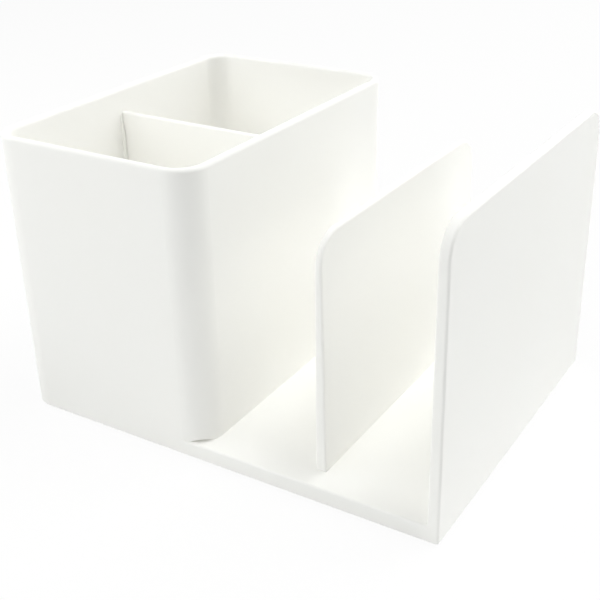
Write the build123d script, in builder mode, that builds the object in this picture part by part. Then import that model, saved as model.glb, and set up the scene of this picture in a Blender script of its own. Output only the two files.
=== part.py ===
from build123d import *
import math
import os

# Desk organizer: a two-compartment pencil cup and a two-slot sorter on one base.
# Millimetres, +Z up, +X from the cup to the end plate, the front faces -Y.
# The origin lies on the desk, under the middle of the overall footprint.

# Overall size, over the cup's rim and the end plate
overall_length = 170.0
overall_depth = 130.0
overall_height = 105.5

# Base: a deck on a skirt, ribbed underneath
foot_stand = 0.8
base_height = 5.8
deck_thickness = 2.4
skirt_thickness = 2.4
skirt_edge_round = 0.5
rib_thickness = 1.4
rib_setback = 0.7
long_rib_share = 0.31

# End plate, one moulding with the base
end_plate_foot_thickness = 4.0
end_plate_top_thickness = 3.7
end_plate_foot_round = 1.0
plate_corner_radius = 10.5
plate_edge_round = 0.9

# Cup: walls lean out a little from foot to rim
cup_width = 83.0
cup_corner_radius = 10.0
rim_lean = 0.4
wall_thickness = 3.0
wall_gain = 0.4
rim_round = 1.4
floor_thickness = 2.4
floor_round = 1.5
foot_wall = 3.0
scallop_turn = 40.0
scallop_width = 8.5
scallop_height = 1.0

# Low rib on the deck that the cup's hollow foot drops over
locator_height = 1.2
locator_thickness = 1.2
locator_clearance = 0.25

# Divider and the guide ribs that hold its ends
divider_thickness = 2.2
divider_drop = 9.0
divider_edge_round = 0.9
divider_corner = 2.5
divider_end_clearance = 0.3
guide_clearance = 0.2
guide_width = 1.0
guide_reach = 1.0
guide_lead = 6.5
guide_drop = 0.4

# Middle plate, one slot away from the cup, held by three tabs staked under the deck
inner_slot_width = 38.5
middle_plate_height = 83.5
middle_plate_inset = 8.2
middle_plate_foot_thickness = 3.9
middle_plate_top_thickness = 2.4
middle_foot_chamfer = 0.3
tab_thickness = 2.0
tab_length = 16.0
tab_pitch = 38.0
tab_clearance = 0.2
stake_spread = 0.8
stake_height = 1.2
stake_taper = 25.0

# Self-tapping screws that hold the cup from beneath
screw_inset_x = 23.0
screw_inset_y = 26.0
screw_core_radius = 1.1
screw_hole_radius = 1.65
screw_head_radius = 2.8
screw_head_height = 2.0
screw_head_round = 0.9
screw_grip = 4.1
screw_tip = 0.8
screw_cross_width = 0.7
screw_cross_length = 3.0
screw_cross_depth = 1.1
pilot_clearance = 0.1
pilot_tip_room = 0.5
pilot_skin = 1.2
boss_radius = 3.5

# Rubber feet in round sockets
foot_inset = 13.0
foot_radius = 5.0
foot_edge_round = 0.4
foot_socket_depth = 1.0
foot_socket_clearance = 0.2
foot_socket_wall = 1.8

# Past the surface that a cut leaves or enters
overrun = 1.0

# Places and levels that follow from the sizes
base_right = overall_length / 2
base_left = rim_lean - overall_length / 2
base_depth = overall_depth - 2 * rim_lean
base_length = base_right - base_left
deck_top = foot_stand + base_height
deck_under = deck_top - deck_thickness
hollow_depth = base_height - deck_thickness

cup_mid = base_left + cup_width / 2
cup_right = base_left + cup_width
cup_height = overall_height - deck_top
corner_start = cup_right - cup_corner_radius
floor_under = deck_top + screw_grip + pilot_tip_room + pilot_skin - floor_thickness
floor_top = floor_under + floor_thickness

# Inside of the cup's wall, measured in from the foot's outline
lean_at_floor = rim_lean * (floor_top - deck_top) / cup_height
inset_at_floor = wall_thickness + wall_gain - lean_at_floor
inset_at_rim = wall_thickness - rim_lean
inside_lean = inset_at_floor - inset_at_rim
inside_height = overall_height - floor_top
inside_width = cup_width - 2 * inset_at_floor
inside_depth = base_depth - 2 * inset_at_floor
divider_top = overall_height - divider_drop
guide_top = divider_top - guide_drop
lead_start = guide_top - guide_lead

end_plate_inside = base_right - end_plate_foot_thickness
middle_plate_x = cup_right + inner_slot_width + middle_plate_foot_thickness / 2
middle_plate_top = deck_top + middle_plate_height
middle_plate_depth = base_depth - 2 * middle_plate_inset

screw_places = [
    (cup_mid + side_x * (cup_width / 2 - screw_inset_x), side_y * (base_depth / 2 - screw_inset_y))
    for side_x in (-1, 1)
    for side_y in (-1, 1)
]
foot_places = {
    "foot_front_left": (base_left + foot_inset, foot_inset - base_depth / 2),
    "foot_front_right": (base_right - foot_inset, foot_inset - base_depth / 2),
    "foot_rear_left": (base_left + foot_inset, base_depth / 2 - foot_inset),
    "foot_rear_right": (base_right - foot_inset, base_depth / 2 - foot_inset),
}
tab_places = [(middle_plate_x, step * tab_pitch) for step in (-1, 0, 1)]
cross_rib_places = [
    cup_mid,
    cup_right - foot_wall / 2,
    (cup_right + middle_plate_x) / 2,
    (middle_plate_x + end_plate_inside) / 2,
]


def lean_angle(lean, height):
    """Angle in degrees of a wall that leans out by lean over height."""
    return math.degrees(math.atan(lean / height))


def inside_half_width(level):
    """Half the cup's inside width at a level above its floor."""
    return inside_width / 2 + inside_lean * (level - floor_top) / inside_height


def save(piece, name):
    """Label a finished piece and write it under its name."""
    piece.label = name
    export_step(piece, f"parts/{name}.step")


os.makedirs("parts", exist_ok=True)

# Base tray: deck, skirt and end plate in one moulding
with BuildPart() as base_tray:
    # The sorter's half: deck and end plate as one profile, run from front to back
    with BuildSketch(Plane.XZ) as side_profile:
        with BuildLine():
            Polyline(
                (corner_start, foot_stand),
                (base_right, foot_stand),
                (base_right, overall_height),
                (base_right - end_plate_top_thickness, overall_height),
                (end_plate_inside, deck_top),
                (corner_start, deck_top),
                close=True,
            )
        make_face()
        inner_corner = side_profile.vertices().sort_by_distance((end_plate_inside, deck_top))[0]
        fillet(inner_corner, end_plate_foot_round)
    extrude(amount=base_depth / 2, both=True)
    fillet(base_tray.edges().filter_by(Axis.X).group_by(Axis.Z)[-1], plate_corner_radius)

    # Soften every edge that a hand meets, from the deck up round the plate
    right_of_cup = base_tray.edges().filter_by_position(
        Axis.X, corner_start, base_right, inclusive=(False, True)
    )
    across = right_of_cup.filter_by(Axis.Y)
    along = right_of_cup.filter_by(Axis.X)
    upright = right_of_cup - across - along
    deck_edges = along.filter_by_position(Axis.Z, deck_top, deck_top)
    top_edges = across.filter_by_position(Axis.Z, overall_height, overall_height)
    fillet(upright + deck_edges + top_edges, plate_edge_round)

    # The cup's half, with corners that carry on the cup's own, and sharp top edges to sit flush
    with BuildSketch(Plane.XY.offset(foot_stand)) as cup_seat:
        with Locations(((base_left + corner_start) / 2, 0)):
            Rectangle(corner_start - base_left, base_depth)
        fillet(cup_seat.vertices().group_by(Axis.X)[0], cup_corner_radius)
    extrude(amount=base_height)
    fillet(base_tray.faces().sort_by(Axis.Z)[0].edges(), skirt_edge_round)

    # Hollow underside
    with BuildSketch(Plane.XY.offset(foot_stand)) as hollow:
        with Locations(((base_left + base_right) / 2, 0)):
            Rectangle(base_length - 2 * skirt_thickness, base_depth - 2 * skirt_thickness)
        fillet(hollow.vertices().group_by(Axis.X)[0], cup_corner_radius - skirt_thickness)
        fillet(hollow.vertices().group_by(Axis.X)[-1], end_plate_foot_round)
    extrude(amount=hollow_depth, mode=Mode.SUBTRACT)

    # Stiffening ribs, set back from the skirt's lower edge
    with BuildSketch(Plane.XY.offset(foot_stand + rib_setback)) as ribs:
        for place in cross_rib_places:
            with Locations((place, 0)):
                Rectangle(rib_thickness, base_depth - skirt_thickness)
        with Locations(((base_left + base_right) / 2, 0)):
            with GridLocations(0, base_depth * long_rib_share, 1, 2):
                Rectangle(base_length - skirt_thickness, rib_thickness)
    extrude(amount=hollow_depth - rib_setback)

    # Sockets for the rubber feet
    with BuildSketch(Plane.XY.offset(foot_stand)) as socket_posts:
        with Locations(*foot_places.values()):
            Circle(foot_radius + foot_socket_clearance + foot_socket_wall)
    extrude(amount=hollow_depth)
    with BuildSketch(Plane.XY.offset(foot_stand)) as sockets:
        with Locations(*foot_places.values()):
            Circle(foot_radius + foot_socket_clearance)
    extrude(amount=foot_socket_depth, mode=Mode.SUBTRACT)

    # Low rib that locates the cup's hollow foot
    locator_inset = foot_wall + locator_clearance
    with BuildSketch(Plane.XY.offset(deck_top)) as locator:
        with Locations((cup_mid, 0)):
            RectangleRounded(
                cup_width - 2 * locator_inset,
                base_depth - 2 * locator_inset,
                cup_corner_radius - locator_inset,
            )
        offset(amount=-locator_thickness, mode=Mode.SUBTRACT)
    extrude(amount=locator_height)

    # Holes for the cup's screws and slots for the middle plate's tabs
    with BuildSketch(Plane.XY.offset(deck_top)) as openings:
        with Locations(*screw_places):
            Circle(screw_hole_radius)
        with Locations(*tab_places):
            Rectangle(tab_thickness + 2 * tab_clearance, tab_length + 2 * tab_clearance)
    extrude(amount=-deck_thickness, mode=Mode.SUBTRACT)
save(base_tray.part, "base_tray")

# Pencil cup: a leaning shell with a raised floor and a hollow foot
with BuildPart() as pencil_cup:
    with BuildSketch(Plane.XY.offset(deck_top)) as foot_outline:
        with Locations((cup_mid, 0)):
            RectangleRounded(cup_width, base_depth, cup_corner_radius)
    extrude(amount=cup_height, taper=-lean_angle(rim_lean, cup_height))
    with BuildSketch(Plane.XY.offset(floor_top)) as inside_outline:
        with Locations((cup_mid, 0)):
            RectangleRounded(inside_width, inside_depth, cup_corner_radius - inset_at_floor)
    extrude(
        amount=inside_height,
        taper=-lean_angle(inside_lean, inside_height),
        mode=Mode.SUBTRACT,
    )
    fillet(pencil_cup.edges().filter_by_position(Axis.Z, floor_top, floor_top), floor_round)
    fillet(pencil_cup.edges().filter_by_position(Axis.Z, overall_height, overall_height), rim_round)

    # Hollow foot, with a shallow scallop under each corner that stands free on the deck
    with BuildSketch(Plane.XY.offset(deck_top)) as foot_hollow:
        with Locations((cup_mid, 0)):
            RectangleRounded(
                cup_width - 2 * foot_wall, base_depth - 2 * foot_wall, cup_corner_radius - foot_wall
            )
    extrude(amount=floor_under - deck_top, mode=Mode.SUBTRACT)
    sideways = math.sin(math.radians(scallop_turn))
    outwards = math.cos(math.radians(scallop_turn))
    for end in (-1, 1):
        corner_centre = (corner_start, end * (base_depth / 2 - cup_corner_radius), deck_top)
        through_corner = Plane(
            origin=corner_centre, x_dir=(-end * outwards, sideways, 0), z_dir=(sideways, end * outwards, 0)
        )
        with BuildSketch(through_corner) as scallop:
            with BuildLine():
                ThreePointArc((-scallop_width / 2, 0), (0, scallop_height), (scallop_width / 2, 0))
                Line((scallop_width / 2, 0), (-scallop_width / 2, 0))
            make_face()
        extrude(amount=cup_corner_radius + overrun, mode=Mode.SUBTRACT)

    # Screw bosses under the floor, with blind pilot holes
    with BuildSketch(Plane.XY.offset(deck_top)) as bosses:
        with Locations(*screw_places):
            Circle(boss_radius)
    extrude(amount=floor_under - deck_top)
    with BuildSketch(Plane.XY.offset(deck_top)) as pilots:
        with Locations(*screw_places):
            Circle(screw_core_radius + pilot_clearance)
    extrude(amount=screw_grip + pilot_tip_room, mode=Mode.SUBTRACT)

    # Guide ribs: a low pair on each side wall, with a long lead-in that ends just below the divider's top
    guide_offset = divider_thickness / 2 + guide_clearance + guide_width / 2
    for side in (-1, 1):
        for face in (-1, 1):
            with BuildSketch(Plane.XZ.offset(face * guide_offset)) as guide_profile:
                with BuildLine():
                    Polyline(
                        (cup_mid + side * (inside_half_width(floor_top) - guide_reach), floor_top),
                        (cup_mid + side * (inside_half_width(lead_start) - guide_reach), lead_start),
                        (cup_mid + side * inside_half_width(guide_top), guide_top),
                        (cup_mid + side * (inside_half_width(guide_top) + wall_thickness / 2), guide_top),
                        (cup_mid + side * (inside_half_width(floor_top) + wall_thickness / 2), floor_under),
                        (cup_mid + side * (inside_half_width(floor_top) - guide_reach), floor_under),
                        close=True,
                    )
                make_face()
            extrude(amount=guide_width / 2, both=True)
save(pencil_cup.part, "pencil_cup")

# Cup divider: a thin plate that follows the leaning walls
with BuildPart() as cup_divider:
    half_foot = inside_half_width(floor_top) - divider_end_clearance
    half_top = inside_half_width(divider_top) - divider_end_clearance
    with BuildSketch(Plane.XZ) as divider_face:
        with BuildLine():
            Polyline(
                (cup_mid - half_foot, floor_top),
                (cup_mid + half_foot, floor_top),
                (cup_mid + half_top, divider_top),
                (cup_mid - half_top, divider_top),
                close=True,
            )
        make_face()
        chamfer(divider_face.vertices().group_by(Axis.Y)[0], divider_corner)
    extrude(amount=divider_thickness / 2, both=True)
    fillet(cup_divider.edges().filter_by(Axis.X).group_by(Axis.Z)[-1], divider_edge_round)
save(cup_divider.part, "cup_divider")

# Middle plate: thinner towards its top, with tabs staked over under the deck
with BuildPart() as middle_plate:
    with BuildSketch(Plane.XZ) as plate_section:
        with BuildLine():
            Polyline(
                (middle_plate_x - middle_plate_foot_thickness / 2, deck_top),
                (middle_plate_x + middle_plate_foot_thickness / 2, deck_top),
                (middle_plate_x + middle_plate_top_thickness / 2, middle_plate_top),
                (middle_plate_x - middle_plate_top_thickness / 2, middle_plate_top),
                close=True,
            )
        make_face()
    extrude(amount=middle_plate_depth / 2, both=True)
    fillet(middle_plate.edges().filter_by(Axis.X).group_by(Axis.Z)[-1], plate_corner_radius)
    plate_along = middle_plate.edges().filter_by(Axis.X)
    plate_foot = middle_plate.edges().group_by(Axis.Z)[0]
    fillet(middle_plate.edges() - plate_along - plate_foot, plate_edge_round)
    chamfer(middle_plate.faces().sort_by(Axis.Z)[0].edges(), middle_foot_chamfer)

    # Tabs through the deck, staked over beneath it
    with BuildSketch(Plane.XY.offset(deck_top)) as tabs:
        with Locations(*tab_places):
            Rectangle(tab_thickness, tab_length)
    extrude(amount=-deck_thickness)
    with BuildSketch(Plane.XY.offset(deck_under)) as stakes:
        with Locations(*tab_places):
            RectangleRounded(
                tab_thickness + 2 * stake_spread, tab_length + 2 * stake_spread, stake_spread
            )
    extrude(amount=-stake_height, taper=stake_taper)
save(middle_plate.part, "middle_plate")

# Cup screws: pan heads against the deck's underside, shanks up into the cup's bosses
with BuildPart() as cup_screws:
    for x, y in screw_places:
        with BuildSketch(Plane(origin=(x, y, deck_under), x_dir=(1, 0, 0), z_dir=(0, -1, 0))) as half_screw:
            with BuildLine():
                Polyline(
                    (0, -screw_head_height),
                    (screw_head_radius, -screw_head_height),
                    (screw_head_radius, 0),
                    (screw_core_radius, 0),
                    (screw_core_radius, deck_thickness + screw_grip - screw_tip),
                    (0, deck_thickness + screw_grip),
                    close=True,
                )
            make_face()
            rim = half_screw.vertices().sort_by_distance((screw_head_radius, -screw_head_height))[0]
            fillet(rim, screw_head_round)
        revolve(axis=Axis((x, y, 0), (0, 0, 1)))
    with BuildSketch(Plane.XY.offset(deck_under - screw_head_height)) as crosses:
        with Locations(*screw_places):
            Rectangle(screw_cross_length, screw_cross_width)
            Rectangle(screw_cross_width, screw_cross_length)
    extrude(amount=screw_cross_depth, mode=Mode.SUBTRACT)
save(cup_screws.part, "cup_screws")

# Rubber feet, one under each corner
for foot_name, foot_place in foot_places.items():
    with BuildPart() as foot:
        with BuildSketch() as pad:
            with Locations(foot_place):
                Circle(foot_radius)
        extrude(amount=foot_stand + foot_socket_depth)
        fillet(foot.edges().group_by(Axis.Z)[0], foot_edge_round)
    save(foot.part, foot_name)
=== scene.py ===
import math

import bpy
from mathutils import Matrix, Vector

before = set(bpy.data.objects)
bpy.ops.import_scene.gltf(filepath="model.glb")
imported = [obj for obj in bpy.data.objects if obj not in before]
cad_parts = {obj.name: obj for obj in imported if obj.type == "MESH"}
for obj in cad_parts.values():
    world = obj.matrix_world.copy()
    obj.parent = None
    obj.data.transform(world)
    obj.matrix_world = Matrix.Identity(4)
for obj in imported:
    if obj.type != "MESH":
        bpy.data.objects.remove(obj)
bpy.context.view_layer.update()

PLASTIC_NODES = ("base_tray", "pencil_cup", "cup_divider", "middle_plate")
RUBBER_NODES = ("foot_front_left", "foot_front_right", "foot_rear_left", "foot_rear_right")
METAL_NODES = ("cup_screws",)

# Finishes, as linear colours
WHITE = (1.0, 1.0, 1.0, 1.0)
PLASTIC_WHITE = (0.960, 0.957, 0.940, 1.0)
PLASTIC_WARM = (0.956, 0.951, 0.930, 1.0)
PLASTIC_IOR = 1.5
PLASTIC_GLOSS = 0.2
RUBBER_GREY = (0.085, 0.085, 0.088, 1.0)
RUBBER_DUSTY = (0.13, 0.128, 0.125, 1.0)
ZINC_LIGHT = (0.60, 0.61, 0.62, 1.0)
ZINC_DULL = (0.42, 0.43, 0.45, 1.0)

# Texture values between which two tones blend, and those that a range of roughness is drawn from
TONE_START, TONE_END = 0.35, 0.65
SPREAD_START, SPREAD_END = 0.3, 0.7

# Camera: where it stands, how it is turned, and its lens on a 36 mm sensor
CAMERA_PLACE = Vector((0.18585, -0.29797, 0.2124))
CAMERA_TURN = math.radians(31.31)
CAMERA_TILT = math.radians(-25.82)
CAMERA_ROLL = math.radians(-0.93)
CAMERA_LENS_MM = 62.95
CAMERA_SHIFT = (-0.03, -0.03)
CAMERA_NEAR = 0.01

# Stage
FLOOR_HALF = 0.9
FLOOR_COLOUR = (0.9, 0.9, 0.9, 1.0)
FLOOR_GLOW_SHARE = 0.92
WORLD_STRENGTH = 0.02
WHITE_WALL_BOUNCES = 12

# Soft lights, all aimed at a point inside the object
LIGHT_AIM = Vector((0.0, 0.0, 0.05))
LIGHT_COLOUR = (0.99, 1.0, 0.985)
LIGHT_REACH = 1.5
LIGHT_WIDTH = 1.2


def node_tree(owner):
    """Empty the nodes of a material or a world and return helpers to add and join new ones."""
    owner.use_nodes = True
    tree = owner.node_tree
    tree.nodes.clear()

    def add(kind, **values):
        node = tree.nodes.new(kind)
        for name, value in values.items():
            if hasattr(node, name):
                setattr(node, name, value)
            else:
                node.inputs[name].default_value = value
        return node

    return add, tree.links.new


def texture(add, join, kind, **values):
    """A texture in the piece's own coordinates."""
    node = add(kind, **values)
    join(add("ShaderNodeTexCoord").outputs["Object"], node.inputs["Vector"])
    return node


def two_tone(add, join, scale, light, dull):
    """A slow drift between two close colours."""
    noise = texture(add, join, "ShaderNodeTexNoise", Scale=scale, Detail=3.0, Roughness=0.6)
    ramp = add("ShaderNodeValToRGB")
    start, end = ramp.color_ramp.elements
    start.position, start.color = TONE_START, dull
    end.position, end.color = TONE_END, light
    join(noise.outputs["Fac"], ramp.inputs["Fac"])
    return ramp.outputs["Color"]


def spread(add, join, value, low, high):
    """Map a texture value to a range."""
    node = add("ShaderNodeMapRange")
    node.inputs["From Min"].default_value = SPREAD_START
    node.inputs["From Max"].default_value = SPREAD_END
    node.inputs["To Min"].default_value = low
    node.inputs["To Max"].default_value = high
    join(value, node.inputs["Value"])
    return node.outputs["Result"]


def bumped(add, join, height, strength, distance, under=None):
    """A bumpy surface, on top of another one where that is given."""
    bump = add("ShaderNodeBump", Strength=strength, Distance=distance)
    join(height, bump.inputs["Height"])
    if under is not None:
        join(under, bump.inputs["Normal"])
    return bump.outputs["Normal"]


def show(add, join, shader, output="ShaderNodeOutputMaterial"):
    """Make a shader the one that is seen."""
    join(shader.outputs[0], add(output).inputs["Surface"])


def plastic_material():
    """White moulded plastic: a fine eroded grain, a faint waviness and a satin gloss."""
    material = bpy.data.materials.new("white_plastic_moulded")
    add, join = node_tree(material)
    grain = texture(add, join, "ShaderNodeTexNoise", Scale=1900.0, Detail=2.0, Roughness=0.55)
    wave = texture(add, join, "ShaderNodeTexNoise", Scale=26.0, Detail=1.0)
    wavy = bumped(add, join, wave.outputs["Fac"], strength=0.25, distance=0.0004)
    fine = bumped(add, join, grain.outputs["Fac"], strength=0.2, distance=0.00004, under=wavy)

    shader = add("ShaderNodeBsdfPrincipled", IOR=PLASTIC_IOR)
    shader.inputs["Specular IOR Level"].default_value = PLASTIC_GLOSS
    join(two_tone(add, join, 22.0, PLASTIC_WHITE, PLASTIC_WARM), shader.inputs["Base Color"])
    join(spread(add, join, grain.outputs["Fac"], low=0.46, high=0.58), shader.inputs["Roughness"])
    join(fine, shader.inputs["Normal"])
    show(add, join, shader)
    return material


def rubber_material():
    """Grey rubber, matt, with a pebbled skin and a little dust."""
    material = bpy.data.materials.new("foot_rubber_pebbled")
    add, join = node_tree(material)
    pebble = texture(add, join, "ShaderNodeTexVoronoi", Scale=1600.0).outputs["Distance"]

    shader = add("ShaderNodeBsdfPrincipled")
    join(two_tone(add, join, 900.0, RUBBER_GREY, RUBBER_DUSTY), shader.inputs["Base Color"])
    join(spread(add, join, pebble, low=0.7, high=0.9), shader.inputs["Roughness"])
    join(bumped(add, join, pebble, strength=0.5, distance=0.00008), shader.inputs["Normal"])
    show(add, join, shader)
    return material


def zinc_material():
    """Zinc-plated steel with cloudy patches and fine tumbling marks."""
    material = bpy.data.materials.new("screw_steel_plated")
    add, join = node_tree(material)
    marks = texture(add, join, "ShaderNodeTexNoise", Scale=4000.0, Detail=4.0).outputs["Fac"]

    shader = add("ShaderNodeBsdfPrincipled", Metallic=1.0)
    join(two_tone(add, join, 700.0, ZINC_LIGHT, ZINC_DULL), shader.inputs["Base Color"])
    join(spread(add, join, marks, low=0.22, high=0.42), shader.inputs["Roughness"])
    join(bumped(add, join, marks, strength=0.25, distance=0.00003), shader.inputs["Normal"])
    show(add, join, shader)
    return material


def dress(names, material):
    """Give CAD nodes a finish in place of the one they came with."""
    for name in names:
        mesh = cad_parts[name].data
        mesh.materials.clear()
        mesh.materials.append(material)


def seen_directly(add, join):
    """One for rays that show the stage itself, to the camera or in a reflection."""
    path = add("ShaderNodeLightPath")
    total = path.outputs["Is Camera Ray"]
    for name in ("Is Glossy Ray", "Is Transmission Ray"):
        joined = add("ShaderNodeMath", operation="MAXIMUM")
        join(total, joined.inputs[0])
        join(path.outputs[name], joined.inputs[1])
        total = joined.outputs[0]
    return total


def blend(add, join, share, first, second):
    """Mix two shaders by the second one's share."""
    mix = add("ShaderNodeMixShader")
    join(share, mix.inputs[0])
    join(first.outputs[0], mix.inputs[1])
    join(second.outputs[0], mix.inputs[2])
    return mix


def make_floor():
    """A pale floor that shows white and keeps the contact shadow."""
    mesh = bpy.data.meshes.new("floor")
    corners = [(x * FLOOR_HALF, y * FLOOR_HALF, 0.0) for x, y in ((-1, -1), (1, -1), (1, 1), (-1, 1))]
    mesh.from_pydata(corners, [], [(0, 1, 2, 3)])
    floor = bpy.data.objects.new("floor", mesh)
    bpy.context.scene.collection.objects.link(floor)
    material = bpy.data.materials.new("stage_floor")
    add, join = node_tree(material)
    matt = add("ShaderNodeBsdfDiffuse", Color=FLOOR_COLOUR)
    glow = add("ShaderNodeEmission", Strength=1.0)
    share = add("ShaderNodeMath", operation="MULTIPLY")
    join(seen_directly(add, join), share.inputs[0])
    share.inputs[1].default_value = FLOOR_GLOW_SHARE
    show(add, join, blend(add, join, share.outputs[0], matt, glow))
    mesh.materials.append(material)


def make_world():
    """Dim, even surroundings, white where they are seen."""
    world = bpy.data.worlds.new("studio")
    bpy.context.scene.world = world
    add, join = node_tree(world)
    around = add("ShaderNodeBackground", Color=WHITE, Strength=WORLD_STRENGTH)
    seen = add("ShaderNodeBackground", Color=WHITE, Strength=1.0)
    show(add, join, blend(add, join, seen_directly(add, join), around, seen), "ShaderNodeOutputWorld")


def softbox(name, turn, lift, power, reach=LIGHT_REACH, width=LIGHT_WIDTH):
    """A square soft light, placed by its turn from +X and its lift above the desk, in degrees."""
    lamp = bpy.data.lights.new(name, "AREA")
    lamp.size = width
    lamp.energy = power
    lamp.color = LIGHT_COLOUR
    light = bpy.data.objects.new(name, lamp)
    bpy.context.scene.collection.objects.link(light)
    around, up = math.radians(turn), math.radians(lift)
    towards = Vector((math.cos(around) * math.cos(up), math.sin(around) * math.cos(up), math.sin(up)))
    light.location = LIGHT_AIM + reach * towards
    light.rotation_mode = "QUATERNION"
    light.rotation_quaternion = towards.to_track_quat("Z", "Y")


def make_camera():
    """The photograph's view."""
    data = bpy.data.cameras.new("camera")
    data.lens = CAMERA_LENS_MM
    data.shift_x, data.shift_y = CAMERA_SHIFT
    data.clip_start = CAMERA_NEAR
    camera = bpy.data.objects.new("camera", data)
    bpy.context.scene.collection.objects.link(camera)
    turn = Matrix.Rotation(CAMERA_TURN, 4, "Z")
    tilt = Matrix.Rotation(math.pi / 2 + CAMERA_TILT, 4, "X")
    roll = Matrix.Rotation(CAMERA_ROLL, 4, "Z")
    camera.matrix_world = Matrix.Translation(CAMERA_PLACE) @ turn @ tilt @ roll
    bpy.context.scene.camera = camera


dress(PLASTIC_NODES, plastic_material())
dress(RUBBER_NODES, rubber_material())
dress(METAL_NODES, zinc_material())
make_floor()
make_world()
softbox("key_light", turn=38, lift=62, power=13.9)
softbox("back_light_high", turn=60, lift=40, power=4.8)
softbox("back_light_low", turn=58, lift=18, power=6.2)
softbox("right_light", turn=37, lift=8, power=1.8, width=0.4)
softbox("front_light", turn=269, lift=35, power=9.8)
softbox("left_light", turn=206, lift=37, power=2.3, reach=0.7, width=0.6)
make_camera()

bpy.context.scene.cycles.diffuse_bounces = WHITE_WALL_BOUNCES
bpy.context.scene.view_settings.view_transform = "Standard"
